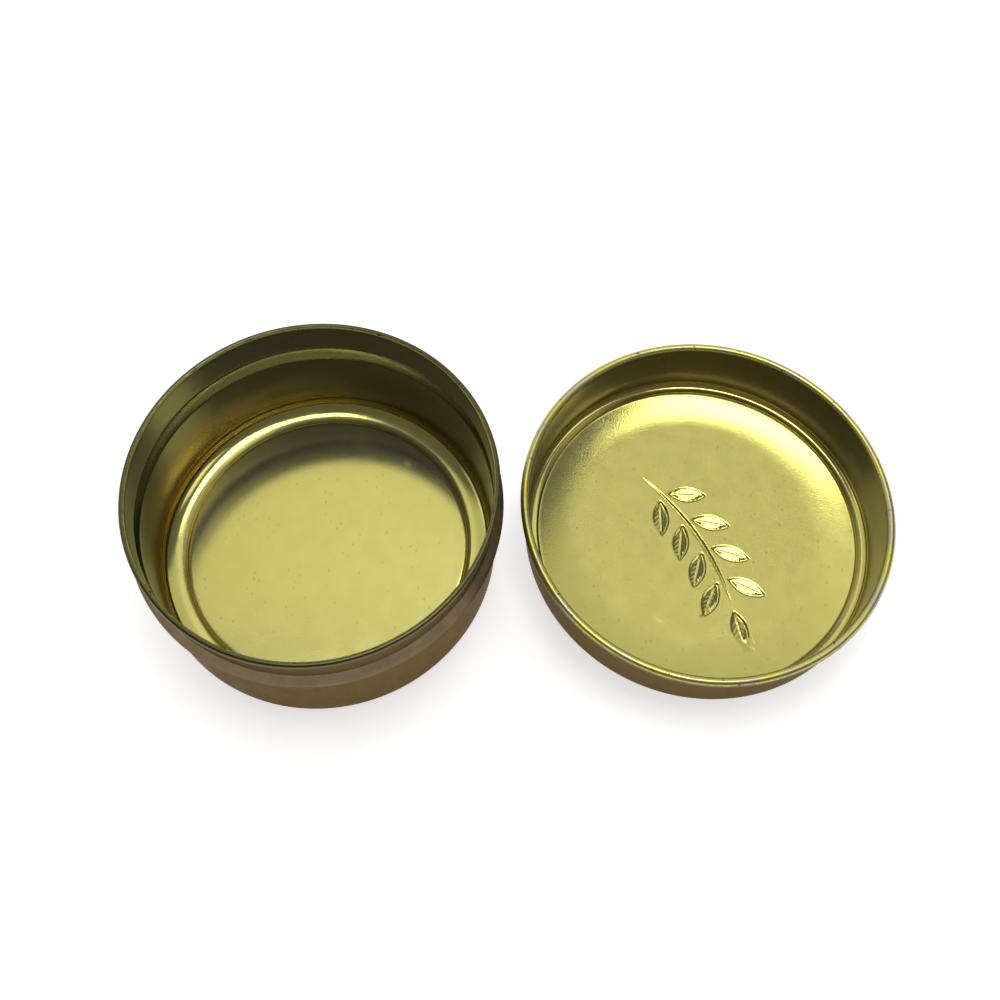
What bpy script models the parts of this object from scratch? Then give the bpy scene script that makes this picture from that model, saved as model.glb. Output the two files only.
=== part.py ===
# A round slip-lid tin for lip balm, in two pieces of drawn tinplate.
# The base stands open. Its lid lies beside it, taken off and turned over, so that both insides show.
# Metres, +Z up. The origin is the middle of the two pieces' shared outline, on the surface they stand on.

import math

import bmesh
import bpy
from mathutils import Matrix, Vector

MM = 0.001

# The sheet, and how finely round shapes are drawn
SHEET = 0.25 * MM
TURN_STEPS = 56
MERGE_DISTANCE = 0.001 * MM
OVERRUN = 0.5 * MM

# Lid: a shallow drawn cap with a slightly crowned panel, a fine crease round it and its edge rolled outwards
LID_DIAMETER = 48.0 * MM
LID_HEIGHT = 10.9 * MM
LID_CURL_RADIUS = 0.56 * MM
LID_CURL_TURN = math.radians(285)
LID_CORNER = 1.12 * MM
LID_BAND_WIDTH = 0.45 * MM
LID_CREASE_FILLET = 0.25 * MM
LID_CREASE_RUN = 0.10 * MM
LID_CREASE_SLOPE = math.radians(32)
LID_CROWN_TURN = math.radians(4.5)
LID_ROLL_TURN = math.radians(6)
LID_ROLL_WIDTH = 1.3 * MM
LID_CROWN_STEPS = 4
LID_ROLL_STEPS = 2

# Base: a deeper drawn cup with a thin rolled rim, a rounded stop bead and a raised floor
BASE_HEIGHT = 20.4 * MM
SLIP_GAP = 0.15 * MM
BASE_CURL_RADIUS = 0.38 * MM
BASE_CURL_TURN = math.radians(255)
NECK_HEIGHT = 4.6 * MM
BEAD_HEIGHT = 3.3 * MM
BEAD_REACH = 0.95 * MM
BEAD_FILLET = 0.4 * MM
BEAD_CREST = 0.7 * MM
BASE_CORNER = 2.0 * MM
BOTTOM_SLOPE = math.radians(14)
BOTTOM_RUN = 1.35 * MM
BOTTOM_FILLET = 0.5 * MM
FOOT_WIDTH = 0.24 * MM
FLOOR_RISE = 1.0 * MM
FLOOR_STEP_FILLET = 0.2 * MM
FLOOR_STEP_SLOPE = math.radians(85)

# Sprig of leaves raised in the lid's panel
LEAF_PAIRS = 4
LEAF_LENGTH = 5.4 * MM
LEAF_WIDTH = 2.2 * MM
LEAF_PITCH = 4.7 * MM
LEAF_LEAN = math.radians(44)
LEAF_GAP = 0.4 * MM
STEM_WIDTH = 0.6 * MM
STEM_TAIL = 4.2 * MM
STEM_BEND_RADIUS = 34.0 * MM
SPRIG_TURN = math.radians(62)
EMBOSS_RISE = 0.3 * MM
EMBOSS_SIDE_SHARE = 0.8
EMBOSS_DRAFT_SHARE = 0.35
LEAF_OUTLINE_STEPS = 16
STEM_OUTLINE_STEPS = 28

# Where the pieces lie: side by side, with this much bare surface between them
SIDE_GAP = 2.2 * MM

# Radii that follow from the sizes above, all from the axis of the piece
half_sheet = SHEET / 2
lid_wall_inner = LID_DIAMETER / 2 - 2 * LID_CURL_RADIUS
lid_wall_middle = lid_wall_inner + half_sheet
base_rim_outer = lid_wall_inner - SLIP_GAP
base_wall_middle = base_rim_outer - 2 * BASE_CURL_RADIUS + half_sheet
bead_outer = base_wall_middle + half_sheet + BEAD_REACH

# The lid's panel: its own edge inside the crease, and the radii of the two arcs that crown it
edge_tilt = LID_CROWN_TURN + LID_ROLL_TURN
crease_width = LID_CREASE_FILLET * (2 * math.sin(LID_CREASE_SLOPE) + math.sin(edge_tilt))
crease_width += LID_CREASE_RUN * math.cos(LID_CREASE_SLOPE)
panel_radius = lid_wall_middle - (LID_CORNER - half_sheet) - LID_BAND_WIDTH - crease_width
roll_start = panel_radius - LID_ROLL_WIDTH
crown_radius = panel_radius / math.sin(LID_CROWN_TURN)
roll_radius = LID_ROLL_WIDTH / math.sin(LID_ROLL_TURN)

# Places of the two axes along X
row_half_length = (2 * bead_outer + SIDE_GAP + LID_DIAMETER) / 2
base_x = bead_outer - row_half_length
lid_x = row_half_length - LID_DIAMETER / 2


class Path:
    """The middle line of a bent sheet, walked from a point in steps: r runs out from the axis, z up."""

    def __init__(self, r, z, heading=0.0):
        self.points = [(r, z)]
        self.heading = heading

    def line(self, length):
        if length > MERGE_DISTANCE:
            r, z = self.points[-1]
            self.points.append((r + length * math.cos(self.heading), z + length * math.sin(self.heading)))

    def arc(self, radius, turn, steps):
        # Positive turns go left, seen with r to the right and z up.
        side = math.copysign(1.0, turn)
        r, z = self.points[-1]
        centre_r = r - side * radius * math.sin(self.heading)
        centre_z = z + side * radius * math.cos(self.heading)
        for step in range(1, steps + 1):
            angle = self.heading + turn * step / steps
            self.points.append((centre_r + side * radius * math.sin(angle), centre_z - side * radius * math.cos(angle)))
        self.heading += turn


def step_size(rise, fillet, slope):
    """The straight run and the whole width of a step that two equal bends make."""
    straight = max((rise - 2 * fillet * (1 - math.cos(slope))) / math.sin(slope), 0.0)
    width = 2 * fillet * math.sin(slope) + straight * math.cos(slope)
    return straight, width


def base_path():
    """From the floor's middle out over the step, the foot and the slope, up the wall and bead, and round the rim."""
    corner = BASE_CORNER - half_sheet
    fillet = FLOOR_STEP_FILLET
    straight, step_width = step_size(FLOOR_RISE, fillet, FLOOR_STEP_SLOPE)
    slope_width = BOTTOM_FILLET * math.sin(BOTTOM_SLOPE) + BOTTOM_RUN * math.cos(BOTTOM_SLOPE)
    corner_width = corner * (1 - math.sin(BOTTOM_SLOPE))
    floor_radius = base_wall_middle - corner_width - slope_width - FOOT_WIDTH - step_width

    # The bead: a round crest between two straight flanks, and a fillet where each flank meets the wall.
    # Its half height and its reach leave one lean for the flanks.
    half_bead = BEAD_HEIGHT / 2
    rounding = BEAD_FILLET + BEAD_CREST
    spare = rounding - BEAD_REACH
    lean = math.atan2(half_bead, spare) - math.acos(rounding / math.hypot(half_bead, spare))
    flank = (half_bead - rounding * math.sin(lean)) / math.cos(lean)

    curl = BASE_CURL_RADIUS - half_sheet
    curl_centre_z = BASE_HEIGHT - BASE_CURL_RADIUS
    bead_top_z = BASE_HEIGHT - NECK_HEIGHT
    bead_foot_z = bead_top_z - BEAD_HEIGHT

    path = Path(0.0, half_sheet + FLOOR_RISE)
    path.line(floor_radius)
    path.arc(fillet, -FLOOR_STEP_SLOPE, 2)
    path.line(straight)
    path.arc(fillet, FLOOR_STEP_SLOPE, 2)
    path.line(FOOT_WIDTH)
    path.arc(BOTTOM_FILLET, BOTTOM_SLOPE, 1)
    path.line(BOTTOM_RUN)
    path.arc(corner, math.pi / 2 - BOTTOM_SLOPE, 4)
    path.line(bead_foot_z - path.points[-1][1])
    path.arc(BEAD_FILLET, -lean, 2)
    path.line(flank)
    path.arc(BEAD_CREST, 2 * lean, 4)
    path.line(flank)
    path.arc(BEAD_FILLET, -lean, 2)
    path.line(curl_centre_z - bead_top_z)
    path.arc(curl, -BASE_CURL_TURN, 6)
    return path.points


def crown_fall(r):
    """How far the lid's panel lies below its middle at a radius: a wide arc, and a tighter one near the edge."""
    out = min(max(r - roll_start, 0.0), LID_ROLL_WIDTH)
    wide = crown_radius - math.sqrt(crown_radius ** 2 - r ** 2)
    return wide + roll_radius - math.sqrt(roll_radius ** 2 - out ** 2)


def lid_path():
    """From the panel's middle out over the crown, the crease and the band, down the skirt and round its roll."""
    corner = LID_CORNER - half_sheet
    curl = LID_CURL_RADIUS - half_sheet
    top = LID_HEIGHT - EMBOSS_RISE - half_sheet
    crown = [roll_start * step / LID_CROWN_STEPS for step in range(LID_CROWN_STEPS)]
    crown += [roll_start + LID_ROLL_WIDTH * step / LID_ROLL_STEPS for step in range(LID_ROLL_STEPS)]

    path = Path(panel_radius, top - crown_fall(panel_radius), -edge_tilt)
    path.arc(LID_CREASE_FILLET, edge_tilt + LID_CREASE_SLOPE, 2)
    path.line(LID_CREASE_RUN)
    path.arc(LID_CREASE_FILLET, -LID_CREASE_SLOPE, 2)
    path.line(LID_BAND_WIDTH)
    path.arc(corner, -math.pi / 2, 4)
    path.line(path.points[-1][1] - LID_CURL_RADIUS)
    path.arc(curl, LID_CURL_TURN, 7)
    return [(r, top - crown_fall(r)) for r in crown] + path.points


def coat(name, colour, roughness):
    material = bpy.data.materials.new(name)
    material.use_nodes = True
    shader = material.node_tree.nodes["Principled BSDF"]
    shader.inputs["Base Color"].default_value = (*colour, 1.0)
    shader.inputs["Metallic"].default_value = 1.0
    shader.inputs["Roughness"].default_value = roughness
    return material


def turned_sheet(name, points, collection):
    """A profile line turned about Z and thickened to the sheet, gold inside and taupe outside."""
    mesh = bpy.data.meshes.new(name)
    bm = bmesh.new()
    verts = [bm.verts.new((r, 0.0, z)) for r, z in points]
    for first, second in zip(verts, verts[1:]):
        bm.edges.new((first, second))
    bm.to_mesh(mesh)
    bm.free()

    piece = bpy.data.objects.new(name, mesh)
    collection.objects.link(piece)
    mesh.materials.append(coat(name + "_lacquer", (0.58, 0.54, 0.17), 0.22))
    mesh.materials.append(coat(name + "_coat", (0.21, 0.16, 0.10), 0.38))

    screw = piece.modifiers.new("turn", "SCREW")
    screw.axis = "Z"
    screw.steps = TURN_STEPS
    screw.render_steps = TURN_STEPS
    screw.use_merge_vertices = True
    screw.merge_threshold = MERGE_DISTANCE
    screw.use_smooth_shade = True

    shell = piece.modifiers.new("sheet", "SOLIDIFY")
    shell.thickness = SHEET
    shell.offset = 0.0
    shell.use_even_offset = True
    shell.material_offset = 1
    return piece


def stem_place(along, across):
    """A point of the panel, from its distance along the bent stem and its distance to one side."""
    angle = along / STEM_BEND_RADIUS
    reach = STEM_BEND_RADIUS - across
    point = Vector((reach * math.sin(angle), STEM_BEND_RADIUS - reach * math.cos(angle), 0.0))
    return point, angle


def blade(bm, length, width, steps, low, high, place):
    """A pointed blade with sloping sides: wide at the low level, narrower at the high one.

    Both levels are heights over the panel's middle, and fall with the panel's crown.
    """
    outline = bmesh.ops.create_circle(bm, cap_ends=True, segments=steps, radius=1.0)["verts"]
    bottom = outline[0].link_faces[0]
    upper = bmesh.ops.extrude_face_region(bm, geom=[bottom], use_keep_orig=True)["geom"]
    draft = EMBOSS_DRAFT_SHARE * width / 2
    top_verts = [item for item in upper if isinstance(item, bmesh.types.BMVert)]
    top_faces = [item for item in upper if isinstance(item, bmesh.types.BMFace)]
    for ring, level, inset in ((outline, low, 0.0), (top_verts, high, draft)):
        for vert in ring:
            share_along, share_across = vert.co.x, vert.co.y * abs(vert.co.y)
            along = (length / 2 - inset) * share_along
            across = (width / 2 - inset) * share_across
            vert.co = place(along, across)
            vert.co.z = level - crown_fall(math.hypot(vert.co.x, vert.co.y))
    bmesh.ops.triangulate(bm, faces=[bottom] + top_faces)


def leaf_places():
    """Where each leaf sits: its middle on the stem's own coordinates, and the way that it points."""
    stem_length = STEM_TAIL + LEAF_PITCH * LEAF_PAIRS
    stalk = (STEM_WIDTH / 2 + LEAF_GAP) / math.sin(LEAF_LEAN)
    for pair in range(LEAF_PAIRS):
        along = STEM_TAIL + LEAF_PITCH * pair - stem_length / 2
        for side in (1, -1):
            yield along, side * LEAF_LEAN, LEAF_LENGTH / 2 + stalk
    yield stem_length / 2, 0.0, LEAF_LENGTH / 2 + LEAF_GAP


def sprig(name, grow, low, high, collection):
    """The stem and its leaves as one object of separate blades, each grown by the same margin."""
    bm = bmesh.new()
    stem_length = STEM_TAIL + LEAF_PITCH * LEAF_PAIRS
    turn = Matrix.Rotation(SPRIG_TURN, 3, "Z")

    def on_stem(along, across):
        return turn @ stem_place(along, across)[0]

    blade(bm, stem_length + 2 * grow, STEM_WIDTH + 2 * grow, STEM_OUTLINE_STEPS, low, high, on_stem)
    for along, lean, reach in leaf_places():
        foot, angle = stem_place(along, 0.0)
        aim = Matrix.Rotation(angle + lean, 3, "Z")

        def on_leaf(x, y, foot=foot, aim=aim, reach=reach):
            return turn @ (foot + aim @ Vector((reach + x, y, 0.0)))

        blade(bm, LEAF_LENGTH + 2 * grow, LEAF_WIDTH + 2 * grow, LEAF_OUTLINE_STEPS, low, high, on_leaf)
    bmesh.ops.recalc_face_normals(bm, faces=bm.faces)
    mesh = bpy.data.meshes.new(name)
    bm.to_mesh(mesh)
    bm.free()

    guide = bpy.data.objects.new(name, mesh)
    collection.objects.link(guide)
    guide.hide_render = True
    guide.display_type = "WIRE"
    return guide


def emboss(lid, collection):
    """Raises the sprig out of the panel's top and hollows it from below, so that the sheet keeps its wall."""
    panel_top = LID_HEIGHT - EMBOSS_RISE
    panel_under = panel_top - SHEET
    side = EMBOSS_SIDE_SHARE * SHEET
    raised = sprig("sprig_raised", side, panel_top - half_sheet, LID_HEIGHT, collection)
    hollow = sprig("sprig_hollow", 0.0, panel_under - OVERRUN, panel_under + EMBOSS_RISE, collection)
    for guide, operation in ((raised, "UNION"), (hollow, "DIFFERENCE")):
        guide.parent = lid
        cut = lid.modifiers.new(guide.name, "BOOLEAN")
        cut.operation = operation
        cut.use_self = True
        cut.object = guide


def main():
    for old in list(bpy.data.objects):
        bpy.data.objects.remove(old, do_unlink=True)
    tin = bpy.data.collections.new("lip_balm_tin")
    guides = bpy.data.collections.new("cutters")
    bpy.context.scene.collection.children.link(tin)
    bpy.context.scene.collection.children.link(guides)

    base = turned_sheet("tin_base", base_path(), tin)
    base.location = (base_x, 0.0, 0.0)

    lid = turned_sheet("tin_lid", lid_path(), tin)
    emboss(lid, guides)
    lid.rotation_euler = (math.pi, 0.0, 0.0)
    lid.location = (lid_x, 0.0, LID_HEIGHT)


main()
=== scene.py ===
# A round balm tin, open: the base on the left, its slip lid turned over on the right.
# Both pieces of the frame get a finer twin here, worked out from nearly the same sizes, with the finish on it.

import math

import bpy
import numpy as np
from mathutils import Matrix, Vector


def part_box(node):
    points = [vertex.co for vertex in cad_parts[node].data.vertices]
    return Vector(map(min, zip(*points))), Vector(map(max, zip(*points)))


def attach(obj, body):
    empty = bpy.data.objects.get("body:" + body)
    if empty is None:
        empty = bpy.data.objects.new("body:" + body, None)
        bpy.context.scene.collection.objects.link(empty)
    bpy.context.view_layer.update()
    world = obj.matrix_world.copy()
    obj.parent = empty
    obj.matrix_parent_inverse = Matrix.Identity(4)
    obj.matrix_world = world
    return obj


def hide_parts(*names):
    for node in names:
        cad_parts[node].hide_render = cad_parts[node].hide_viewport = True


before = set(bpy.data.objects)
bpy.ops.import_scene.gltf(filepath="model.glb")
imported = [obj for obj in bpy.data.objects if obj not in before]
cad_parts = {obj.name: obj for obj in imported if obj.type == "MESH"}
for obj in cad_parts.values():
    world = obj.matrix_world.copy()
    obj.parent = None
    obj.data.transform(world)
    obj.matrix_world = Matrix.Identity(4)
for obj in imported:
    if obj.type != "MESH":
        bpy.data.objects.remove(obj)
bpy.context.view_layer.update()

mm = 0.001
print("frame loaded:", sorted(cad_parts))


# Sheet and turning
sheet = {
    "thickness": 0.25 * mm,
    "turnSteps": 288,
    "linePace": 1.1 * mm,             # longest straight stretch between two rings
    "bendPace": math.radians(11),     # widest turn between two rings
    "stripWidth": 0.3 * mm,           # between a panel's grid and the first ring
}
halfSheet = sheet["thickness"] / 2


def walkSheet(start, moves, heading=0.0):
    # The middle line of a bent sheet, walked from a point with a heading, as rows of r, z and heading.
    # A move is (length, turn). Straight: start + s * (cos h, sin h). Bent, with R = length / turn:
    # start + R * (sin(h + a) - sin h, cos h - cos(h + a)) while a runs from 0 to the turn.
    r, z = start
    rows = [np.array([[r, z, heading]])]
    for length, turn in moves:
        steps = max(1, math.ceil(length / sheet["linePace"]), math.ceil(abs(turn) / sheet["bendPace"]))
        share = np.arange(1, steps + 1) / steps
        if turn:
            radius = length / turn
            angle = heading + turn * share
            row = np.stack([
                r + radius * (np.sin(angle) - math.sin(heading)),
                z + radius * (math.cos(heading) - np.cos(angle)),
                angle,
            ], 1)
        else:
            row = np.stack([
                r + length * share * math.cos(heading),
                z + length * share * math.sin(heading),
                np.full(steps, heading),
            ], 1)
        rows.append(row)
        r, z, heading = row[-1]
    return np.concatenate(rows)


def bend(radius, turn):
    # As long as its radius times its turn.
    return radius * abs(turn), turn


def run(length):
    # Straight on.
    return length, 0.0


def stepRun(rise, fillet, slope):
    # The straight part, and the whole width, of a step made of two equal bends.
    straight = max((rise - 2 * fillet * (1 - math.cos(slope))) / math.sin(slope), 0.0)
    return straight, 2 * fillet * math.sin(slope) + straight * math.cos(slope)


def ringIndex(first, rings):
    # The points' numbers, a row per ring.
    return first + np.arange(rings * sheet["turnSteps"]).reshape(rings, -1)


def bandFaces(rings):
    # Quads between neighbouring rings of one side of the sheet, facing to the left of the walk.
    here, there = rings[:-1], rings[1:]
    return np.stack([here, there, np.roll(there, -1, 1), np.roll(here, -1, 1)], -1).reshape(-1, 4)


def bridgeFaces(outerAngle, outer, innerAngle, inner):
    # Triangles between two rings with unlike numbers of points. Going round, each point closes one
    # triangle with the point before it on its own ring and the last one passed on the other ring.
    outerOrder, innerOrder = np.argsort(outerAngle), np.argsort(innerAngle)
    a, ia = outerAngle[outerOrder], outer[outerOrder]
    b, ib = innerAngle[innerOrder], inner[innerOrder]
    innerPassed = ib[(np.searchsorted(b, a, "left") - 1) % len(b)]
    outerPassed = ia[(np.searchsorted(a, b, "right") - 1) % len(a)]
    fromOuter = np.stack([np.roll(ia, 1), ia, innerPassed], -1)
    fromInner = np.stack([np.roll(ib, 1), outerPassed, ib], -1)
    return np.concatenate([fromOuter, fromInner])


def crossLines(radius, denseHalf, densePace, coarsePace):
    # Grid lines from -1 to 1 across a disc, close together near its middle.
    dense = np.linspace(-denseHalf, denseHalf, 2 * math.ceil(denseHalf / densePace) + 1)
    outer = np.linspace(denseHalf, radius, math.ceil((radius - denseHalf) / coarsePace) + 1)[1:]
    return np.concatenate([-outer[::-1], dense, outer]) / radius


def discGrid(radius, uLines, vLines, turn, first):
    # A square grid rounded to a disc: x = u * sqrt(1 - v^2 / 2), y = v * sqrt(1 - u^2 / 2), times the radius,
    # then turned about the middle. Returns the places, the quads facing up and the border's indices.
    u, v = np.meshgrid(uLines, vLines, indexing="ij")
    x = radius * u * np.sqrt(1 - v * v / 2)
    y = radius * v * np.sqrt(1 - u * u / 2)
    c, s = math.cos(turn), math.sin(turn)
    place = np.stack([c * x - s * y, s * x + c * y], -1)
    index = first + np.arange(u.size).reshape(u.shape)
    quads = np.stack([index[:-1, :-1], index[1:, :-1], index[1:, 1:], index[:-1, 1:]], -1).reshape(-1, 4)
    border = np.concatenate([index[:, 0], index[-1, 1:], index[-2::-1, -1], index[0, -2:0:-1]])
    return place.reshape(-1, 2), quads, border


def ripple(angle, size, seed):
    # How far a drawn wall stands inside its true circle: a few slow waves round it, from 0 to size.
    rng = np.random.default_rng(seed)
    waves = np.array([2, 3, 5, 8, 13])
    phase = rng.uniform(0, 2 * math.pi, len(waves))
    weight = 1 / waves
    total = (weight * (1 + np.cos(waves * angle[..., None] + phase))).sum(-1) / (2 * weight.sum())
    return size * total


def unrest(x, y, size, pace, seed, waves=7):
    # The slight unevenness of a pressed panel: a sum of slow crossing waves, between -size and size.
    rng = np.random.default_rng(seed)
    ways, phases = rng.uniform(0, math.pi, waves), rng.uniform(0, 6.28, waves)
    total = np.zeros_like(x)
    for way, phase, stretch in zip(ways, phases, rng.uniform(0.7, 1.6, waves)):
        total += np.sin(2 * math.pi / (pace * stretch) * (x * math.cos(way) + y * math.sin(way)) + phase)
    return size * total / waves


def smooth(value):
    # From 0 to 1 with a soft start and end: 3 v^2 - 2 v^3.
    value = np.clip(value, 0, 1)
    return value * value * (3 - 2 * value)


# Where along a profile the shares change, among them the painted shade and glow, by heading and by height
surfaceMarks = {
    "upright": math.pi / 2,
    "uprightSlack": 0.01,
    "rollFade": 8,                    # over an eighth of the roll, the wall's painted shade gives way to the edge's finish
    "wallFrom": math.radians(50),
    "wallOver": math.radians(34),
    "cornerReach": 2.2 * mm,
    "lineAt": math.radians(82),
    "lineWidth": math.radians(5),
    "cornerFrom": math.radians(25),
    "cornerOver": math.radians(15),
    "cornerShare": 0.25,
    "fadeIn": 0.8 * mm,
    "fadeOut": 4 * mm,
}


def wallPatches(turn, z, patches):
    # Soft patches of painted glow and painted reflection on the walls, as a share per ring and step. A half width of
    # None goes all round.
    total = np.zeros((len(z), len(turn)))
    for angle, half, low, high, strength in patches:
        away = (turn - angle + math.pi) % (2 * math.pi) - math.pi
        spread = np.ones(len(turn)) if half is None else np.exp(-(away / half) ** 2)
        level = smooth((z - low) / surfaceMarks["fadeIn"] + 0.5) * (1 - smooth((z - high) / surfaceMarks["fadeOut"] + 0.5))
        total = np.maximum(total, strength * level[:, None] * spread)
    return total


def surfaceShares(turn, z, heading, paintedPatches, m):
    # The finish's shares per ring and step. rollShare runs from 0 to 1 along the rolled edge, from the last
    # ring that heads straight up. wallShare is full where the sheet stands. The corner's share is painted glow in
    # the corner, most of all a painted reflection line under the wall's foot. The patches of painted glow and
    # painted reflection lie on the walls.
    up = m["upright"]
    lastUp = np.nonzero(heading > up - m["uprightSlack"])[0][-1]
    roll = np.clip((up - heading) / (up - heading[-1]), 0, 1) * (np.arange(len(z)) > lastUp)
    wall = smooth((heading - m["wallFrom"]) / m["wallOver"]) * (1 - np.clip(roll * m["rollFade"], 0, 1))
    low = z < z[0] + m["cornerReach"]
    line = np.exp(-((heading - m["lineAt"]) / m["lineWidth"]) ** 2) * low
    corner = m["cornerShare"] * smooth((heading - m["cornerFrom"]) / m["cornerOver"]) * (1 - wall) * low
    allRound = np.ones(len(turn))
    return {
        "rollShare": roll[:, None] * allRound,
        "wallShare": wall[:, None] * allRound,
        "paintedCornerGlow": np.maximum(line, corner)[:, None] * allRound,
        "thinFilm": wallPatches(turn, z, paintedPatches["thin"]),
        "paintedReflectionShare": wallPatches(turn, z, paintedPatches["paintedReflection"]),
    }


def makePiece(name, tin, profile, panel):
    # A closed tin of one sheet. profile is the middle line from the panel's edge out to the rolled edge's end.
    # The inside is the middle line plus half the sheet along its left normal, the outside the other way.
    # The panel's height(x, y) gives its middle level and how deep it is pressed there.
    steps = sheet["turnSteps"]
    turn = 2 * math.pi * np.arange(steps) / steps
    r, z, heading = profile.T
    rings = len(r)
    shares = surfaceShares(turn, z, heading, tin["paintedPatches"], surfaceMarks)
    finish = {title: [] for title in shares}
    rise = np.clip(z / z.max(), 0, 1)
    dent = ripple(turn, tin["wallRipple"], tin["rippleSeed"])
    places, faces, sides, ends = [], [], [], []
    count = 0
    for side in (1, -1):
        ringR = (r - side * halfSheet * np.sin(heading))[:, None] - rise[:, None] ** 2 * dent
        ringZ = np.broadcast_to((z + side * halfSheet * np.cos(heading))[:, None], ringR.shape)
        shell = np.stack([ringR * np.cos(turn), ringR * np.sin(turn), ringZ], -1)
        index = ringIndex(count, rings)
        places.append(shell.reshape(-1, 3))
        band = bandFaces(index)
        count += rings * steps

        discRadius = r[0] - sheet["stripWidth"]
        flat, quads, border = discGrid(discRadius, *panel["lines"][side], panel["turn"], count)
        level, depth = panel["height"](flat[:, 0], flat[:, 1])
        places.append(np.column_stack([flat, level - depth + side * halfSheet]))
        borderAngle = np.arctan2(flat[border - count, 1], flat[border - count, 0]) % (2 * math.pi)
        strip = bridgeFaces(turn, index[0], borderAngle, border)
        count += len(flat)

        for title, share in shares.items():
            finish[title] += [share.ravel(), np.zeros(len(flat))]
        for part in (band, quads, strip):
            faces.append(part if side > 0 else part[:, ::-1])
            sides.append(np.full(len(part), 0 if side > 0 else 1))
        ends.append(index[-1])

    inner, outer = ends
    cap = np.stack([inner, outer, np.roll(outer, -1), np.roll(inner, -1)], -1)
    faces.append(cap)
    sides.append(np.zeros(len(cap), int))

    points = np.concatenate(places)
    points[:, 0] += tin["axisX"]
    mesh = bpy.data.meshes.new(name)
    corners = np.concatenate([part.ravel() for part in faces])
    sizes = np.concatenate([np.full(len(part), part.shape[1]) for part in faces])
    mesh.vertices.add(len(points))
    mesh.vertices.foreach_set("co", points.astype(np.float32).ravel())
    mesh.loops.add(len(corners))
    mesh.loops.foreach_set("vertex_index", corners.astype(np.int32))
    mesh.polygons.add(len(sizes))
    mesh.polygons.foreach_set("loop_start", (np.cumsum(sizes) - sizes).astype(np.int32))
    mesh.polygons.foreach_set("material_index", np.concatenate(sides).astype(np.int32))
    mesh.polygons.foreach_set("use_smooth", np.ones(len(sizes), bool))
    mesh.update(calc_edges=True)
    for title, values in finish.items():
        layer = mesh.attributes.new(title, "FLOAT", "POINT")
        layer.data.foreach_set("value", np.concatenate(values).astype(np.float32))
    mesh.validate()
    piece = bpy.data.objects.new(name, mesh)
    bpy.context.scene.collection.objects.link(piece)
    print(name, "made:", len(points), "points,", int((sizes - 2).sum()), "triangles")
    return piece


# Base: drawn cup with a thin rolled rim, a stop bead and a raised floor
baseLow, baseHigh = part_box("tin_base")
baseTin = {
    "axisX": (baseLow.x + baseHigh.x) / 2,
    "height": baseHigh.z,
    "beadOuter": (baseHigh.x - baseLow.x) / 2,
    "curlRadius": 0.38 * mm,
    "curlTurn": math.radians(255),
    "neckHeight": 4.6 * mm,
    "beadHeight": 3.3 * mm,
    "beadReach": 0.95 * mm,
    "beadFillet": 0.4 * mm,
    "beadCrest": 0.7 * mm,
    "corner": 2.08 * mm,
    "bottomSlope": math.radians(26),
    "bottomFillet": 4.0 * mm,
    "footWidth": 0.24 * mm,
    "floorRise": 1.0 * mm,
    "floorReach": 18 * mm,
    "floorMiddle": 6 * mm,
    "gridPace": 0.9 * mm,
    "gridTurn": 0.3,
    "stepFillet": 0.3 * mm,
    "stepSlope": math.radians(74),
    "floorUnrest": 0.004 * mm,
    "floorWaves": 16 * mm,
    "floorSeed": 5,
    "wallRipple": 0.05 * mm,
    "rippleSeed": 10,
    "paintedPatches": {                         # middle and half width as angles, from and to a height, strength
        # painted glow: warm reflected light low on the walls
        "thin": [
            (math.radians(165), math.radians(38), 1.5 * mm, 8 * mm, 0.60),
            (math.radians(110), math.radians(45), 1.5 * mm, 3 * mm, 0.25),
        ],
        # painted reflection: a greyer tone all round the neck
        "paintedReflection": [(0.0, None, 12.3 * mm, 30 * mm, 1.0)],     # all round
    },
}


def baseProfile(t):
    # The bead is a round crest between two straight flanks. Its half height, reach and roundings leave one lean.
    slope, corner = t["bottomSlope"], t["corner"] - halfSheet
    straight, width = stepRun(t["floorRise"], t["stepFillet"], t["stepSlope"])
    wall = t["beadOuter"] - t["beadReach"] - halfSheet
    bottom = t["footWidth"] + t["bottomFillet"] * math.sin(slope)
    floorRadius = wall - corner * (1 - math.sin(slope)) - bottom - width
    halfBead, rounding = t["beadHeight"] / 2, t["beadFillet"] + t["beadCrest"]
    spare = rounding - t["beadReach"]
    lean = math.atan2(halfBead, spare) - math.acos(rounding / math.hypot(halfBead, spare))
    flank = (halfBead - rounding * math.sin(lean)) / math.cos(lean)
    beadTop = t["height"] - t["neckHeight"]
    bottomMoves = [
        bend(t["stepFillet"], -t["stepSlope"]),
        run(straight),
        bend(t["stepFillet"], t["stepSlope"]),
        run(t["footWidth"]),
        bend(t["bottomFillet"], slope),
        bend(corner, math.pi / 2 - slope),
    ]
    cornerTop = walkSheet((0.0, halfSheet + t["floorRise"]), bottomMoves)[-1, 1]
    return walkSheet((floorRadius, halfSheet + t["floorRise"]), bottomMoves + [
        run(beadTop - t["beadHeight"] - cornerTop),
        bend(t["beadFillet"], -lean),
        run(flank),
        bend(t["beadCrest"], 2 * lean),
        run(flank),
        bend(t["beadFillet"], -lean),
        run(t["height"] - t["curlRadius"] - beadTop),
        bend(t["curlRadius"] - halfSheet, -t["curlTurn"]),
    ])


def baseFloor(x, y):
    # Flat, but for the sheet's slight unrest, which dies out towards the step.
    edge = np.clip(1 - np.hypot(x, y) / baseTin["floorReach"], 0, 1) ** 0.5
    wave = unrest(x, y, baseTin["floorUnrest"], baseTin["floorWaves"], baseTin["floorSeed"]) * edge
    return halfSheet + baseTin["floorRise"] + wave, np.zeros_like(x)


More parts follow.
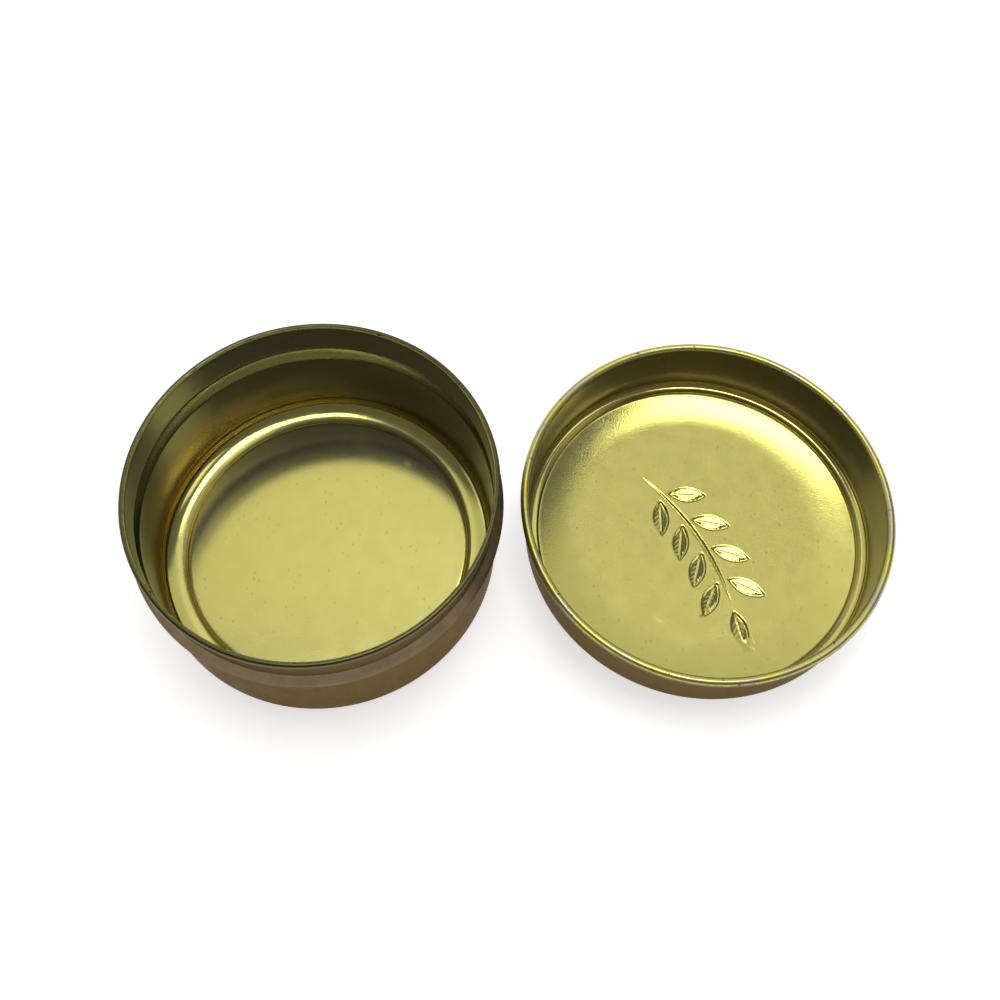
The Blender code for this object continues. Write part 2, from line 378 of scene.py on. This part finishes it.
floorLines = crossLines(baseTin["floorReach"], baseTin["floorMiddle"], baseTin["gridPace"], baseTin["gridPace"])
basePanel = {
    "height": baseFloor,
    "turn": baseTin["gridTurn"],
    "lines": {1: (floorLines, floorLines), -1: (floorLines, floorLines)},
}
baseShell = makePiece("base_shell", baseTin, baseProfile(baseTin), basePanel)


# Lid: shallow cap with a thick rolled edge and a sprig of leaves pressed into its panel
lidLow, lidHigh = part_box("tin_lid")
lidTin = {
    "axisX": (lidLow.x + lidHigh.x) / 2,
    "height": lidHigh.z,
    "outer": (lidHigh.x - lidLow.x) / 2,
    "curlRadius": 0.56 * mm,
    "curlTurn": math.radians(285),
    "corner": 1.12 * mm,
    "bandWidth": 0.45 * mm,
    "creaseFillet": 0.25 * mm,
    "creaseRun": 0.10 * mm,
    "creaseSlope": math.radians(32),
    "crownTurn": math.radians(3.8),
    "rollTurn": math.radians(6.7),
    "rollWidth": 5.5 * mm,
    "embossRise": 0.3 * mm,
    "panelUnrest": 0.005 * mm,
    "panelWaves": 14 * mm,
    "panelCalm": 20 * mm,
    "panelSeed": 11,
    "wallRipple": 0.06 * mm,
    "rippleSeed": 9,
    "paintedPatches": {
        # painted glow: warm reflected light low on the far wall
        "thin": [(math.radians(90), math.radians(50), 1.5 * mm, 12 * mm, 0.24)],
        # painted reflection: a near black patch on the lid's left wall
        "paintedReflection": [(math.radians(192), math.radians(42), 1.5 * mm, 30 * mm, 1.0)],
    },
}
# From the wall inwards: the corner, a narrow band, the crease and then the crowned panel's own edge.
lidCorner = lidTin["corner"] - halfSheet
lidWall = lidTin["outer"] - 2 * lidTin["curlRadius"] + halfSheet
edgeTilt = lidTin["crownTurn"] + lidTin["rollTurn"]
creaseMoves = [
    bend(lidTin["creaseFillet"], -edgeTilt - lidTin["creaseSlope"]),
    run(lidTin["creaseRun"]),
    bend(lidTin["creaseFillet"], lidTin["creaseSlope"]),
]
creaseWidth, creaseFall = walkSheet((0.0, 0.0), creaseMoves, edgeTilt)[-1, :2]
panelRadius = lidWall - lidCorner - lidTin["bandWidth"] - creaseWidth
crownRadius = panelRadius / math.sin(lidTin["crownTurn"])
rollRadius = lidTin["rollWidth"] / math.sin(lidTin["rollTurn"])
rollStart = panelRadius - lidTin["rollWidth"]


def crownRise(r):
    # Two arcs added up: a wide shallow bowl over the whole panel, and a tighter one near its edge.
    out = np.clip(r - rollStart, 0, lidTin["rollWidth"])
    return crownRadius - np.sqrt(crownRadius ** 2 - r ** 2) + rollRadius - np.sqrt(rollRadius ** 2 - out ** 2)


def lidProfile(t):
    # From the panel's rising edge over the crease and the band, round the corner and up to the rolled edge.
    level = halfSheet + t["embossRise"] + crownRise(panelRadius)
    return walkSheet((panelRadius, level), creaseMoves + [
        run(t["bandWidth"]),
        bend(lidCorner, math.pi / 2),
        run(t["height"] - t["curlRadius"] - level - creaseFall - lidCorner),
        bend(t["curlRadius"] - halfSheet, -t["curlTurn"]),
    ], edgeTilt)


sprig = {
    "turn": math.radians(62),
    "bendRadius": 34.0 * mm,
    "pairs": 4,
    "tail": 4.2 * mm,
    "pitch": 4.7 * mm,
    "lean": math.radians(44),
    "leafLength": 5.4 * mm,
    "leafWidth": 2.2 * mm,
    "leafGap": 0.4 * mm,
    "tipWidth": 0.0001 * mm,          # a leaf counts as at least this wide at its tips
    "stemWidth": 0.6 * mm,
    "stemDepth": 0.22 * mm,
    "stemBevel": 0.22 * mm,
    "deepSide": 0.24 * mm,
    "shallowSide": 0.07 * mm,
    "channel": 0.07 * mm,
    "channelIn": 0.30 * mm,
    "channelWidth": 0.17 * mm,
    "midrib": 0.07 * mm,
    "midribWidth": 0.10 * mm,
    "veins": 0.012 * mm,
    "veinPace": 0.72 * mm,
    "veinRake": 1.1,
    "deepBevel": 0.20 * mm,
    "shallowBevel": 0.12 * mm,
}
sprig["length"] = sprig["tail"] + sprig["pitch"] * sprig["pairs"]


def leafDepth(x, y, s):
    # One leaf, along its midrib (x) and across it (y). Half width = w * (1 - (x / a)^2), a lens.
    # Depth: deep beside one edge, shallow beside the other, with a bevel at each, less a raised midrib and veins.
    a, w = s["leafLength"] / 2, s["leafWidth"] / 2
    share = np.clip(x / a, -1, 1)
    half = w * (1 - share ** 2)
    square = 1 / np.sqrt(1 + (2 * w * share / a) ** 2)
    fromDeep, fromShallow = (half + y) * square, (half - y) * square
    across = np.clip((half + y) / np.maximum(2 * half, s["tipWidth"]), 0, 1)
    depth = s["deepSide"] + (s["shallowSide"] - s["deepSide"]) * across
    depth += s["channel"] * np.exp(-((fromDeep - s["channelIn"]) / s["channelWidth"]) ** 2)
    rib = np.exp(-(y / s["midribWidth"]) ** 2) * (1 - share ** 4)
    vein = (0.5 + 0.5 * np.cos(2 * math.pi * (x - s["veinRake"] * np.abs(y)) / s["veinPace"])) ** 4
    depth -= s["midrib"] * rib + s["veins"] * vein * (1 - rib)
    inside = smooth(fromDeep / s["deepBevel"]) * smooth(fromShallow / s["shallowBevel"])
    return np.maximum(depth, 0) * inside


def sprigDepth(x, y, s):
    # The whole sprig. The stem is an arc: along = R * atan2(x, R - y), across = R - hypot(x, R - y).
    c, d = math.cos(s["turn"]), math.sin(s["turn"])
    x, y = c * x - d * y, -d * x - c * y
    bendR = s["bendRadius"]
    along = bendR * np.arctan2(x, bendR - y)
    across = bendR - np.hypot(x, bendR - y)
    half = s["stemWidth"] / 2 * (1 - np.clip(2 * along / s["length"], -1, 1) ** 2)
    depth = s["stemDepth"] * smooth((half - np.abs(across)) / s["stemBevel"])
    stalk = (s["stemWidth"] / 2 + s["leafGap"]) / math.sin(s["lean"])
    spots = [(s["tail"] + s["pitch"] * pair - s["length"] / 2, side, s["leafLength"] / 2 + stalk)
             for pair in range(s["pairs"]) for side in (1, -1)]
    spots.append((s["length"] / 2, 0, s["leafLength"] / 2 + s["leafGap"]))
    for place, side, reach in spots:
        angle = place / bendR
        footX, footY = bendR * math.sin(angle), bendR - bendR * math.cos(angle)
        aim = angle + side * s["lean"]
        ca, sa = math.cos(aim), math.sin(aim)
        lx = ca * (x - footX) + sa * (y - footY) - reach
        ly = -sa * (x - footX) + ca * (y - footY)
        depth = np.maximum(depth, leafDepth(lx, ly * (side or 1), s))
    return depth


def lidPanel(x, y):
    # The crown, seen from inside as a shallow bowl, with the sprig pressed down into it.
    r = np.hypot(x, y)
    calm = np.clip(1 - (r / lidTin["panelCalm"]) ** 4, 0, 1)
    wave = unrest(x, y, lidTin["panelUnrest"], lidTin["panelWaves"], lidTin["panelSeed"]) * calm
    return halfSheet + lidTin["embossRise"] + crownRise(r) + wave, sprigDepth(x, y, sprig)


# The panel's grid lies along the sprig, and is fine where the sprig is, finest on the side that shows.
lidGrid = {
    "along": 15.6 * mm,
    "across": 6.3 * mm,
    "insidePace": 0.12 * mm,
    "outsidePace": 0.26 * mm,
    "coarsePace": 0.7 * mm,
}


def lidLines(pace, g):
    radius = panelRadius - sheet["stripWidth"]
    return [crossLines(radius, half, pace, g["coarsePace"]) for half in (g["along"], g["across"])]


lidPressing = {
    "height": lidPanel,
    "turn": -sprig["turn"],
    "lines": {1: lidLines(lidGrid["insidePace"], lidGrid), -1: lidLines(lidGrid["outsidePace"], lidGrid)},
}
lidShell = makePiece("lid_shell", lidTin, lidProfile(lidTin), lidPressing)


# Shared effects
def newGroup(name, inputs, outputs):
    # A node group of plain numbers: each input has its usual value. Returns it with its input and output node.
    group = bpy.data.node_groups.new(name, "ShaderNodeTree")
    for title, value in inputs.items():
        socket = group.interface.new_socket(title, in_out="INPUT", socket_type="NodeSocketFloat")
        socket.default_value = value
    for title in outputs:
        group.interface.new_socket(title, in_out="OUTPUT", socket_type="NodeSocketFloat")
    return group, group.nodes.new("NodeGroupInput"), group.nodes.new("NodeGroupOutput")


def addNode(tree, kind, settings=None, **inputs):
    # A node with its settings and inputs: a socket given as an input is linked, anything else is its value.
    node = tree.nodes.new(kind)
    for title, value in (settings or {}).items():
        setattr(node, title, value)
    # An input's name has _ for each space. The name i and a number means the input at that place.
    for title, value in inputs.items():
        socket = node.inputs[int(title[1:]) if title[1:].isdigit() else title.replace("_", " ")]
        if isinstance(value, bpy.types.NodeSocket):
            tree.links.new(value, socket)
        else:
            socket.default_value = value
    return node


def stretched(tree, scale=(1.0, 1.0, 1.0)):
    # Object coordinates in metres, scaled on each axis.
    coords = tree.nodes.new("ShaderNodeTexCoord")
    return addNode(tree, "ShaderNodeMapping", Vector=coords.outputs["Object"], Scale=scale).outputs["Vector"]


def mathNode(tree, operation, a, b=0.5, c=0.5, clamp=False):
    # One step of arithmetic on sockets or numbers.
    return addNode(tree, "ShaderNodeMath", {"operation": operation, "use_clamp": clamp}, i0=a, i1=b, i2=c).outputs[0]


def ramp(tree, value, low, high, start=0.0, end=1.0):
    # A soft step, from start where the value is low to end where it is high.
    node = addNode(tree, "ShaderNodeMapRange", {"interpolation_type": "SMOOTHSTEP"}, Value=value)
    for title, number in (("From Min", low), ("From Max", high), ("To Min", start), ("To Max", end)):
        node.inputs[title].default_value = number
    return node.outputs["Result"]


def noise(tree, place, scale, detail, roughness=0.5):
    # Its scale counts bumps per metre.
    settings = {"Vector": place, "Scale": scale, "Detail": detail, "Roughness": roughness}
    return addNode(tree, "ShaderNodeTexNoise", None, **settings).outputs[0]


def attribute(tree, title):
    # One of the shares that makePiece leaves on the points.
    return addNode(tree, "ShaderNodeAttribute", {"attribute_name": title}).outputs["Fac"]


def mixColour(tree, share, first, second):
    # From the first colour to the second by a share. Each is a socket or plain values.
    node = tree.nodes.new("ShaderNodeMix")
    node.data_type = "RGBA"
    for socket, value in ((node.inputs[0], share), (node.inputs[6], first), (node.inputs[7], second)):
        if isinstance(value, bpy.types.NodeSocket):
            tree.links.new(value, socket)
        elif isinstance(value, (int, float)):
            socket.default_value = value
        else:
            socket.default_value = (*value, 1.0)
    return node.outputs[2]


skinLook = {
    "squeeze": (1.0, 1.0, 0.5),
    "cloudScale": 420.0,
    "cloudDetail": 4.0,
    "cloudRoughness": 0.62,
    "cloudRange": (0.32, 0.68),
}


def makeSkin():
    # Film on drawn sheet: orange peel and a finer grain as a height, and a slow cloudiness.
    # The Z axis is squeezed, so that on walls the cloudiness runs up and down a little, as the draw left it.
    scales = {"Peel Scale": 4200.0, "Grain Scale": 11000.0, "Grain Share": 0.4}
    group, given, out = newGroup("filmSkin", scales, ("Height", "Cloud"))
    place = stretched(group)
    slow = stretched(group, skinLook["squeeze"])
    peel = noise(group, place, given.outputs["Peel Scale"], 2.0)
    grain = noise(group, place, given.outputs["Grain Scale"], 1.0)
    cloud = noise(group, slow, skinLook["cloudScale"], skinLook["cloudDetail"], skinLook["cloudRoughness"])
    fine = mathNode(group, "MULTIPLY", grain, given.outputs["Grain Share"])
    group.links.new(mathNode(group, "ADD", peel, fine), out.inputs["Height"])
    group.links.new(ramp(group, cloud, *skinLook["cloudRange"]), out.inputs["Cloud"])
    return group


speckSquash = (1.0, 0.6, 1.0)


def makeSpecks():
    # Tiny dark specks, longer along the sheet's rolling: the cores of some cells of a Voronoi pattern.
    group, given, out = newGroup("dustSpecks", {"Scale": 700.0, "Size": 0.12, "Rarity": 0.9}, ("Mask",))
    place = stretched(group, speckSquash)
    cells = addNode(group, "ShaderNodeTexVoronoi", {"feature": "F1"}, Vector=place, Scale=given.outputs["Scale"])
    chosen = addNode(group, "ShaderNodeSeparateColor", None, Color=cells.outputs["Color"])
    near = mathNode(group, "LESS_THAN", cells.outputs["Distance"], given.outputs["Size"])
    rare = mathNode(group, "GREATER_THAN", chosen.outputs[0], given.outputs["Rarity"])
    group.links.new(mathNode(group, "MULTIPLY", near, rare), out.inputs["Mask"])
    return group


scratchLook = {"turn": 0.6, "stretch": (1.0, 0.16, 0.5), "gateScale": 310.0}


def makeScratches():
    # Hair scratches: the thin borders of long drawn-out cells, kept only where a slow noise lets them be.
    group, given, out = newGroup("hairScratches", {"Scale": 240.0, "Width": 0.012, "Amount": 0.56}, ("Mask",))
    coords = stretched(group)
    turned = addNode(
        group, "ShaderNodeMapping", None,
        Vector=coords, Rotation=(0.0, 0.0, scratchLook["turn"]), Scale=scratchLook["stretch"],
    ).outputs[0]
    cells = addNode(
        group, "ShaderNodeTexVoronoi", {"feature": "DISTANCE_TO_EDGE"}, Vector=turned, Scale=given.outputs["Scale"],
    )
    line = mathNode(group, "LESS_THAN", cells.outputs["Distance"], given.outputs["Width"])
    gate = noise(group, coords, scratchLook["gateScale"], 1.0)
    kept = mathNode(group, "GREATER_THAN", gate, given.outputs["Amount"])
    group.links.new(mathNode(group, "MULTIPLY", line, kept), out.inputs["Mask"])
    return group


wearLook = {
    "edgeRange": (0.0, 0.06),
    "fray": 0.16,
    "rollShadeRange": (0.04, 0.13),
    "rubAndSheenScale": 180.0,
    "rubAndSheenRange": (0.4, 0.7),
}


def makeEdgeWear():
    # On a rolled edge: nicks, rubbed stretches that also carry a painted sheen, and painted shade on the far side of
    # the roll.
    # The painted shade starts at a share of the roll, along a line that noise frays.
    settings = {"Scale": 1500.0, "Nicks": 0.66, "Rub And Sheen": 0.5, "Roll Shade From": 0.42}
    group, given, out = newGroup("edgeWear", settings, ("Nicks", "Rub And Sheen", "Edge", "Roll Shade"))
    share = attribute(group, "rollShare")
    edge = ramp(group, share, *wearLook["edgeRange"])
    place = stretched(group)
    small = noise(group, place, given.outputs["Scale"], 3.0, 0.7)
    fray = mathNode(group, "MULTIPLY_ADD", small, wearLook["fray"], share)
    rollShade = ramp(group, mathNode(group, "SUBTRACT", fray, given.outputs["Roll Shade From"]), *wearLook["rollShadeRange"])
    nick = mathNode(group, "GREATER_THAN", small, given.outputs["Nicks"])
    slow = noise(group, place, wearLook["rubAndSheenScale"], 2.0)
    rubAndSheen = mathNode(group, "MULTIPLY", ramp(group, slow, *wearLook["rubAndSheenRange"]), edge)
    group.links.new(mathNode(group, "MULTIPLY", nick, edge), out.inputs["Nicks"])
    group.links.new(mathNode(group, "MULTIPLY", rubAndSheen, given.outputs["Rub And Sheen"]), out.inputs["Rub And Sheen"])
    group.links.new(edge, out.inputs["Edge"])
    group.links.new(rollShade, out.inputs["Roll Shade"])
    return group


filmSkin, dustSpecks, hairScratches, edgeWear = makeSkin(), makeSpecks(), makeScratches(), makeEdgeWear()


def placeGroup(tree, group, values):
    # A shared effect with a material's own values.
    node = addNode(tree, "ShaderNodeGroup", {"node_tree": group})
    for title, value in values.items():
        node.inputs[title].default_value = value
    return node


def newMaterial(name):
    material = bpy.data.materials.new(name)
    material.use_nodes = True
    tree = material.node_tree
    shader = tree.nodes["Principled BSDF"]
    return material, tree, shader


# Gold lacquer
goldBase = {
    "light": (0.635, 0.59, 0.15),
    "deep": (0.61, 0.565, 0.138),
    # painted shade: a darker colour for the walls than for the floor's gold
    "wall": (0.165, 0.147, 0.130),
    # painted glow: warm reflected light on the walls
    "thin": (0.74, 0.48, 0.16),
    # painted reflection on parts of the walls
    "paintedReflection": (0.18, 0.175, 0.21),
    # painted reflection: the warm line at the wall's foot, and glow in the corner
    "corner": (0.86, 0.58, 0.16),
    # rubbed wear on the rolled edge, also a painted sheen
    "rubAndSheen": (0.36, 0.35, 0.19),
    "rubAndSheenShare": 0.5,
    # painted shade: the colour on the far side of the rolled edge
    "rollShade": (0.11, 0.105, 0.045),
    "rollShadeFrom": 0.22,
    "nick": (0.10, 0.08, 0.05),
    "nickDepth": 4.0,
    "speckShare": 0.22,
    "roughness": 0.115,
    "roughSwing": 0.012,
    "wallRoughness": 0.25,
    "edgeRoughness": 0.30,
    "scratchRoughness": 0.05,
    "peel": 0.0046 * mm,
    "wallPeel": 0.3,
    "coat": 0.9,
    "coatRoughness": 0.38,
    "specks": {"Scale": 1300.0, "Size": 0.15, "Rarity": 0.5},
    "scratches": {"Amount": 0.70},
}
goldLid = goldBase | {
    "light": (0.635, 0.592, 0.136),
    "deep": (0.61, 0.562, 0.124),
    # painted reflection: near black on the lid's left wall
    "paintedReflection": (0.06, 0.057, 0.055),
    # rubbed wear, paled here to stand in for a painted sheen on the lid's rim
    "rubAndSheen": (0.50, 0.455, 0.29),
    "rubAndSheenShare": 0.95,
    "rollShadeFrom": 0.54,
    "roughness": 0.12,
    "edgeRoughness": 0.32,
}


def makeGold(name, g):
    # A metallic film under a hazy coat. Over the cloudy gold come the walls, painted darker as shade, with patches
    # of painted reflection and painted glow, the corner's painted glow line, and the rolled edge's rubbed parts with
    # painted sheen and its painted shade. Specks and nicks are last.
    material, tree, shader = newMaterial(name)
    skin = placeGroup(tree, filmSkin, {})
    specks = placeGroup(tree, dustSpecks, g["specks"])
    scratches = placeGroup(tree, hairScratches, g["scratches"])
    wear = placeGroup(tree, edgeWear, {"Roll Shade From": g["rollShadeFrom"], "Rub And Sheen": g["rubAndSheenShare"]})
    upright = attribute(tree, "wallShare")
    flat = mathNode(tree, "SUBTRACT", 1.0, upright)

    # painted shade: the walls' darker colour, with patches of painted reflection and painted glow
    wall = mixColour(tree, attribute(tree, "paintedReflectionShare"), g["wall"], g["paintedReflection"])
    wall = mixColour(tree, attribute(tree, "thinFilm"), wall, g["thin"])
    colour = mixColour(tree, skin.outputs["Cloud"], g["deep"], g["light"])
    colour = mixColour(tree, upright, colour, wall)
    # painted reflection: the corner's warm line
    colour = mixColour(tree, attribute(tree, "paintedCornerGlow"), colour, g["corner"])
    # rubbed wear on the rolled edge, also a painted sheen
    colour = mixColour(tree, wear.outputs["Rub And Sheen"], colour, g["rubAndSheen"])
    # painted shade on the far side of the rolled edge
    colour = mixColour(tree, wear.outputs["Roll Shade"], colour, g["rollShade"])
    spots = mathNode(tree, "MULTIPLY", specks.outputs["Mask"], g["speckShare"])
    colour = mixColour(tree, mathNode(tree, "MAXIMUM", spots, wear.outputs["Nicks"]), colour, g["nick"])
    tree.links.new(colour, shader.inputs["Base Color"])
    shader.inputs["Metallic"].default_value = 1.0
    bare = mathNode(tree, "SUBTRACT", 1.0, wear.outputs["Edge"])
    tree.links.new(mathNode(tree, "MULTIPLY", bare, g["coat"]), shader.inputs["Coat Weight"])
    shader.inputs["Coat Roughness"].default_value = g["coatRoughness"]

    swing = g["roughSwing"] / 2
    rough = ramp(tree, skin.outputs["Cloud"], 0.0, 1.0, g["roughness"] - swing, g["roughness"] + swing)
    rough = mathNode(tree, "MULTIPLY_ADD", upright, g["wallRoughness"] - g["roughness"], rough)
    rough = mathNode(tree, "MULTIPLY_ADD", wear.outputs["Edge"], g["edgeRoughness"] - g["roughness"], rough)
    scratched = mathNode(tree, "MULTIPLY", scratches.outputs["Mask"], flat)
    rough = mathNode(tree, "MULTIPLY_ADD", scratched, g["scratchRoughness"], rough, True)
    tree.links.new(rough, shader.inputs["Roughness"])

    peelShare = mathNode(tree, "MULTIPLY_ADD", flat, 1 - g["wallPeel"], g["wallPeel"])
    height = mathNode(tree, "MULTIPLY", skin.outputs["Height"], peelShare)
    height = mathNode(tree, "MULTIPLY_ADD", wear.outputs["Nicks"], -g["nickDepth"], height)
    bump = addNode(tree, "ShaderNodeBump", None, Strength=1.0, Distance=g["peel"], Height=height)
    tree.links.new(bump.outputs["Normal"], shader.inputs["Normal"])
    return material


# Taupe coat
taupe = {
    "light": (0.208, 0.158, 0.096),
    "deep": (0.190, 0.141, 0.080),
    "speck": (0.10, 0.07, 0.03),
    "speckShare": 0.6,
    "grazing": (0.42, 0.33, 0.24),
    "specular": 0.2,
    "metallic": 0.85,
    "roughness": 0.36,
    "roughSwing": 0.08,
    "grain": 0.003 * mm,
    "skin": {"Peel Scale": 4200.0, "Grain Scale": 12000.0, "Grain Share": 0.6},
    "specks": {"Scale": 1100.0, "Size": 0.14, "Rarity": 0.97},
}


def makeTaupe(name, t):
    # A dull metallic coat in two near tones, with a few dark specks and a fine grain.
    material, tree, shader = newMaterial(name)
    skin = placeGroup(tree, filmSkin, t["skin"])
    specks = placeGroup(tree, dustSpecks, t["specks"])
    colour = mixColour(tree, skin.outputs["Cloud"], t["deep"], t["light"])
    colour = mixColour(tree, mathNode(tree, "MULTIPLY", specks.outputs["Mask"], t["speckShare"]), colour, t["speck"])
    tree.links.new(colour, shader.inputs["Base Color"])
    shader.inputs["Metallic"].default_value = t["metallic"]
    shader.inputs["Specular IOR Level"].default_value = t["specular"]
    shader.inputs["Specular Tint"].default_value = (*t["grazing"], 1.0)
    swing = t["roughSwing"] / 2
    rough = ramp(tree, skin.outputs["Cloud"], 0.0, 1.0, t["roughness"] + swing, t["roughness"] - swing)
    tree.links.new(rough, shader.inputs["Roughness"])
    bump = addNode(tree, "ShaderNodeBump", None, Strength=1.0, Distance=t["grain"], Height=skin.outputs["Height"])
    tree.links.new(bump.outputs["Normal"], shader.inputs["Normal"])
    return material


taupeCoat = makeTaupe("taupe_coat", taupe)
for piece, gold, body, node, slot in (
    (baseShell, makeGold("gold_lacquer_base", goldBase), "base", "tin_base", "base_coat"),
    (lidShell, makeGold("gold_lacquer_lid", goldLid), "lid", "tin_lid", "lid_coat"),
):
    piece.data.materials.append(gold)
    piece.data.materials.append(taupeCoat)
    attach(piece, body)
    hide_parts(node)
print("finishes made")


# Stage: a pale sweep, flat under the tin and turned up far away
sweep = {
    "steps": 96,
    "curveSteps": 12,
    "inner": (0.02, 0.2, 0.6),
    "flat": 2.3,
    "bend": 0.25,
    "height": 0.45,
    "under": 0.04 * mm,
    "colour": (0.93, 0.93, 0.925),
    "roughness": 0.8,
    "lift": 0.62,
}


def makeSweep(s):
    # Turned about Z: flat out to one radius, then a quarter circle, then a straight wall.
    turn = np.linspace(0, 2 * math.pi, s["steps"] + 1)[:-1]
    curve = np.linspace(0, math.pi / 2, s["curveSteps"] + 1)
    r = np.concatenate([s["inner"], s["flat"] + s["bend"] * np.sin(curve), [s["flat"] + s["bend"]]])
    z = np.concatenate([np.zeros(len(s["inner"])), s["bend"] * (1 - np.cos(curve)), [s["height"]]]) - s["under"]
    level = np.broadcast_to(z[:, None], (len(r), len(turn)))
    points = np.stack([r[:, None] * np.cos(turn), r[:, None] * np.sin(turn), level], -1)
    index = np.arange(level.size).reshape(level.shape)
    quads = bandFaces(index)
    mesh = bpy.data.meshes.new("sweep")
    mesh.from_pydata(points.reshape(-1, 3).tolist(), [], quads.tolist() + [index[0].tolist()])
    mesh.polygons.foreach_set("use_smooth", np.ones(len(mesh.polygons), bool))
    stage = bpy.data.objects.new("sweep", mesh)
    bpy.context.scene.collection.objects.link(stage)
    material, tree, shader = newMaterial("pale_floor")
    shader.inputs["Base Color"].default_value = (*s["colour"], 1.0)
    shader.inputs["Roughness"].default_value = s["roughness"]
    path = tree.nodes.new("ShaderNodeLightPath")
    seen = mathNode(tree, "MAXIMUM", path.outputs["Is Camera Ray"], path.outputs["Is Glossy Ray"])
    seen = mathNode(tree, "MAXIMUM", seen, path.outputs["Is Transmission Ray"])
    shader.inputs["Emission Color"].default_value = (1.0, 1.0, 1.0, 1.0)
    tree.links.new(mathNode(tree, "MULTIPLY", seen, s["lift"]), shader.inputs["Emission Strength"])
    mesh.materials.append(material)


makeSweep(sweep)


# Light
sky = {
    "colour": (1.0, 0.995, 0.98),
    "dim": 0.14,
    "bright": 0.97,
    "nearSide": (0.28, 0.42),
    "nearTilt": 0.52,
    "tiltFrom": 0.1,
    "tiltPivot": 0.2,
    "farSide": (0.42, 0.8),
    "farShare": 0.92,
    "leftSide": (-0.5, -0.05),
    "leftShare": 0.7,
    "rightSide": (-0.02, 0.22),
    "rightShare": 0.72,
    "low": (0.12, 0.5),
    "horizon": 0.02,
}


def makeSky(s):
    # A wide glow beyond the tin, as from a bright wall and ceiling, while the viewer's side stays dim.
    # Directions count as X / Z and Y / Z, the place where they cross a level ceiling. On the right, the glow's
    # near side lies aslant, further off the more it is aside.
    world = bpy.data.worlds.new("studio")
    bpy.context.scene.world = world
    world.use_nodes = True
    tree = world.node_tree
    coords = tree.nodes.new("ShaderNodeTexCoord")
    axes = addNode(tree, "ShaderNodeSeparateXYZ", None, Vector=coords.outputs["Generated"])
    up = mathNode(tree, "MAXIMUM", axes.outputs["Z"], s["horizon"])
    across, beyond = (mathNode(tree, "DIVIDE", axes.outputs[axis], up) for axis in "XY")
    aside = mathNode(tree, "SUBTRACT", mathNode(tree, "MAXIMUM", across, s["tiltFrom"]), s["tiltPivot"])
    glow = ramp(tree, mathNode(tree, "MULTIPLY_ADD", aside, -s["nearTilt"], beyond), *s["nearSide"])
    glow = mathNode(tree, "MULTIPLY", glow, ramp(tree, beyond, *s["farSide"], 1.0, s["farShare"]))
    glow = mathNode(tree, "MULTIPLY", glow, ramp(tree, across, *s["leftSide"], s["leftShare"], 1.0))
    glow = mathNode(tree, "MULTIPLY", glow, ramp(tree, across, *s["rightSide"], 1.0, s["rightShare"]))
    glow = mathNode(tree, "MULTIPLY", glow, ramp(tree, axes.outputs["Z"], *s["low"]))
    level = mathNode(tree, "MULTIPLY_ADD", glow, s["bright"] - s["dim"], s["dim"])
    back = tree.nodes["Background"]
    back.inputs["Color"].default_value = (*s["colour"], 1.0)
    tree.links.new(level, back.inputs["Strength"])


def addLamp(name, towards, distance, width, depth, radiance):
    # A soft oblong lamp aimed at the tin, its width along X. Its power follows from how bright its face is.
    zAxis = np.array(towards) / np.linalg.norm(towards)
    xAxis = np.array((1.0, 0.0, 0.0)) - zAxis[0] * zAxis
    xAxis = xAxis / np.linalg.norm(xAxis)
    yAxis = np.cross(zAxis, xAxis)
    lamp = bpy.data.lights.new(name, "AREA")
    lamp.shape, lamp.size, lamp.size_y = "RECTANGLE", width, depth
    lamp.energy = radiance * math.pi * width * depth
    holder = bpy.data.objects.new(name, lamp)
    bpy.context.scene.collection.objects.link(holder)
    place = distance * zAxis
    holder.matrix_world = Matrix([[xAxis[i], yAxis[i], zAxis[i], place[i]] for i in range(3)] + [[0, 0, 0, 1]])


makeSky(sky)
lampDistance = 0.9
lamps = [                             # name, direction from the tin, width, depth, brightness of its face
    ("overhead", (0.14, 0.10, 0.98), 0.19, 0.40, 5.5),
    ("overhead_left", (-0.08, 0.07, 0.99), 0.20, 0.30, 4.5),
    ("left_fill", (-0.85, 0.15, 0.5), 0.30, 0.30, 0.5),
    ("right_fill", (0.6, -0.04, 0.85), 0.30, 0.30, 1.2),
]
for name, towards, width, depth, radiance in lamps:
    addLamp(name, towards, lampDistance, width, depth, radiance)


# Camera, at the photograph's viewing angle
view = {
    "place": (-0.00742, -0.06301, 0.14885),
    "azimuth": 4.22,                  # the three angles in degrees
    "tilt": 29.80,
    "roll": 1.84,
    "lens": 42.85,
    "sensor": 36,
    "shiftY": -0.10,
    "clip": (0.005, 10),
}


def makeCamera(v):
    # Looks tilt degrees off straight down, azimuth degrees from +Y towards +X, and rolled about its own axis.
    a, t, q = (math.radians(v[key]) for key in ("azimuth", "tilt", "roll"))
    ahead = np.array([math.sin(a) * math.sin(t), math.cos(a) * math.sin(t), -math.cos(t)])
    right = np.array([math.cos(a), -math.sin(a), 0.0])
    up = np.cross(right, ahead)
    right, up = math.cos(q) * right + math.sin(q) * up, -math.sin(q) * right + math.cos(q) * up
    camera = bpy.data.objects.new("camera", bpy.data.cameras.new("camera"))
    bpy.context.scene.collection.objects.link(camera)
    camera.data.sensor_width = v["sensor"]
    camera.data.lens = v["lens"]
    camera.data.shift_y = v["shiftY"]
    camera.data.clip_start, camera.data.clip_end = v["clip"]
    camera.matrix_world = Matrix([[right[i], up[i], -ahead[i], v["place"][i]] for i in range(3)] + [[0, 0, 0, 1]])
    bpy.context.scene.camera = camera


makeCamera(view)
bpy.context.scene.view_settings.view_transform = "Standard"

bpy.context.view_layer.update()
